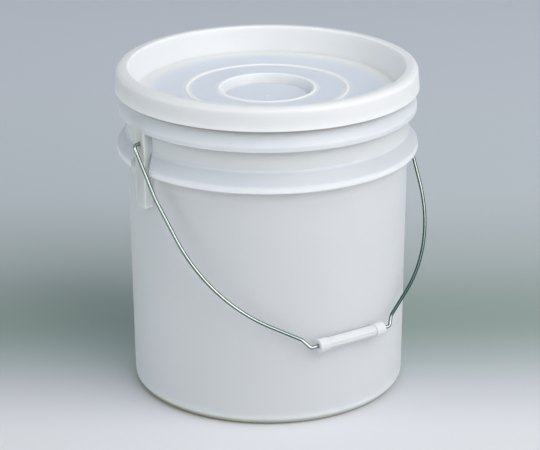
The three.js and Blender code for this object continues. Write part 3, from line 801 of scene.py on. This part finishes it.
def wire():
    """Round section of radius r carried along a flat path p with tangent t and side s, the plane's
    normal n cross t: point (i, j) is p_i + r_i (n cos a_j + s_i sin a_j). At each end r grows from
    the wire's radius to the head's, and then falls to nothing. The corners of half the bow are
    mirrored for the other half, and each end is led through the head's steps of place and radius."""
    half = [
        (EAR_FACE - EAR_WALL - HOLE_CLEARANCE, 0),
        (LEG_OUT, 0, WIRE_BEND),
        LEG_SHOULDER,
        LEG_ELBOW,
        CRANK_TOP,
        (GRIP_LENGTH / 2 + GRIP_END_PLAY + WIRE_BEND / 2, GRIP_DROP, WIRE_BEND),
    ]
    line = rounded(half + [(-out, *rest) for out, *rest in half[::-1]], False, np.radians(3))
    head = np.array([0.0, 0.0, 0.25, 0.75, 1.0, 1.0]) * HEAD_LENGTH
    head_radius = np.array([0.0, 0.75, 1.0, 1.0, 0.8, WIRE_RADIUS / HEAD_RADIUS]) * HEAD_RADIUS
    inner_end = line[0, 0] - HEAD_LENGTH
    start = np.column_stack([inner_end + head, np.zeros(len(head))])
    path = np.concatenate([start, line[1:-1], start[::-1] * (-1, 1)])
    radius = np.concatenate([head_radius, np.full(len(line) - 2, WIRE_RADIUS), head_radius[::-1]])
    steps = np.gradient(path, axis=0)
    steps[:len(head)] = (1, 0)
    steps[-len(head):] = (1, 0)
    tangent = steps / np.linalg.norm(steps, axis=1, keepdims=True)
    tangent[-len(head):] = (1, 0)
    side = np.stack([tangent[:, 1], -tangent[:, 0]], -1)
    angle = np.linspace(0, 2 * np.pi, WIRE_SIDES, endpoint=False)
    flat = path[:, None] + (radius[:, None] * side)[:, None] * np.sin(angle)[None, :, None]
    return grid_mesh("bail_wire", in_bail(
        flat[..., 0], flat[..., 1], radius[:, None] * np.cos(angle)), wrap_columns=True)


def galvanised_steel():
    """Drawn and zinc-coated wire with a cool spangle and drawing marks; its colour paints a highlight
    along the side that faces the eye and near black shade towards its edges. Near the ears and the
    grip the painted highlight is wider."""
    made = bpy.data.materials.new("galvanised_steel")
    made.use_nodes = True
    tree = made.node_tree
    here = add(tree, "ShaderNodeTexCoord").outputs["Object"]
    spangle = add(tree, "ShaderNodeTexNoise", Vector=here, Scale=SPANGLES_PER_METRE, Detail=5.0)
    tone = add(tree, "ShaderNodeMix", {"data_type": "RGBA"}, Factor=spangle.outputs["Fac"],
               _6=(*ZINC_DULL, 1), _7=(*ZINC_BRIGHT, 1))
    from_pivot = add(tree, "ShaderNodeVectorMath", {"operation": "LENGTH"}, Vector=add(
        tree, "ShaderNodeMapping", Vector=here, Location=(0, 0, -PIVOT_HEIGHT), Scale=(0, 1, 1)
    ).outputs["Vector"]).outputs["Value"]
    at_ear = add(tree, "ShaderNodeMapRange", Value=from_pivot,
                 From_Min=EAR_HIGHLIGHT_REACH, From_Max=WIRE_BEND)
    at_grip = add(tree, "ShaderNodeMapRange", Value=from_pivot,
                  From_Min=CRANK_TOP[1], From_Max=GRIP_DROP)
    near_ends = add(tree, "ShaderNodeMath", {"operation": "MAXIMUM"},
                 _0=at_ear.outputs["Result"], _1=at_grip.outputs["Result"])
    highlight_share = add(tree, "ShaderNodeMapRange", Value=near_ends.outputs[0],
                      To_Min=PAINTED_HIGHLIGHT_SHARE, To_Max=PAINTED_HIGHLIGHT_SHARE_NEAR_ENDS)
    # Painted highlight in the middle of the wire's width, painted shade towards its edges
    turned_away = add(tree, "ShaderNodeLayerWeight", Blend=0.5).outputs["Facing"]
    edge = add(tree, "ShaderNodeMapRange", {"interpolation_type": "SMOOTHSTEP"},
               Value=turned_away, From_Min=0.0, From_Max=highlight_share.outputs["Result"])
    highlit_and_shaded = add(tree, "ShaderNodeMix", {"data_type": "RGBA"}, Factor=edge.outputs["Result"],
                _6=tone.outputs[2], _7=(*ZINC_PAINTED_EDGE_SHADE, 1))
    rough = add(tree, "ShaderNodeMapRange", Value=spangle.outputs["Fac"],
                To_Min=ZINC_ROUGHNESS[0], To_Max=ZINC_ROUGHNESS[1])
    marks = add(tree, "ShaderNodeBump", Strength=0.2, Distance=DRAWING_RELIEF,
                Height=spangle.outputs["Fac"])
    shader = tree.nodes["Principled BSDF"]
    shader.inputs["Metallic"].default_value = 1.0
    tree.links.new(highlit_and_shaded.outputs[2], shader.inputs["Base Color"])
    tree.links.new(rough.outputs["Result"], shader.inputs["Roughness"])
    tree.links.new(marks.outputs["Normal"], shader.inputs["Normal"])
    return made


bail = wire()
bail.data.materials.append(galvanised_steel())
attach(bail, "bail")
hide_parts("bail")

# The grip: one white polyethylene tube, threaded on the straight length of the wire before the cranks
# were bent. Shallow flutes run between its two plain collars.
COLLAR_RADIUS = 6.8 * MM
COLLAR_LENGTH = 11 * MM
GRIP_BEVEL = 0.8 * MM
FLUTES = 10
FLUTE_DEPTH = 0.5 * MM
FLUTE_ROOT = 0.3 * MM
BORE_EDGE = 0.4 * MM
BORE_PLAY = 0.4 * MM
BORE_RADIUS = WIRE_RADIUS + BORE_PLAY
GRIP_SIDES = 120
GRIP_COLOUR = (0.62, 0.63, 0.64)


def grip_tube():
    """Closed section (x, r) turned about the wire, outside then bore. Between the collars the radius
    is r - depth * (1 - cos(flutes * a)) / 2, a function of the place along the wire and the angle a."""
    half = GRIP_LENGTH / 2
    neck = half - COLLAR_LENGTH
    section = rounded([
        (half, BORE_RADIUS, BORE_EDGE), (half, COLLAR_RADIUS, GRIP_BEVEL),
        (neck, COLLAR_RADIUS, GRIP_BEVEL), (neck, GRIP_RADIUS, FLUTE_ROOT),
        (-neck, GRIP_RADIUS, FLUTE_ROOT), (-neck, COLLAR_RADIUS, GRIP_BEVEL),
        (-half, COLLAR_RADIUS, GRIP_BEVEL), (-half, BORE_RADIUS, BORE_EDGE)], True)
    x, radius = section[:, 0], section[:, 1]
    angle = np.linspace(0, 2 * np.pi, GRIP_SIDES, endpoint=False)
    fluted = (np.abs(x) <= neck) & (radius <= GRIP_RADIUS + 1e-6) & (radius > BORE_RADIUS + MM)
    flute = FLUTE_DEPTH * (0.5 - 0.5 * np.cos(FLUTES * angle))
    r = radius[:, None] - fluted[:, None] * flute
    return grid_mesh("bail_grip", in_bail(
        np.broadcast_to(x[:, None], r.shape), GRIP_DROP + r * np.cos(angle), r * np.sin(angle)),
        wrap_rows=True, wrap_columns=True)


grip = grip_tube()
grip.data.materials.append(plastic(
    "grip_polyethylene", GRIP_COLOUR, cloud_tint=(0.93, 0.94, 0.95), clouds=0.3, roughness=0.36,
    scuffs=0.1, specks=0.2, bump=0.2, milk=0.6, depth=6 * MM))
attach(grip, "grip")
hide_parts("grip")
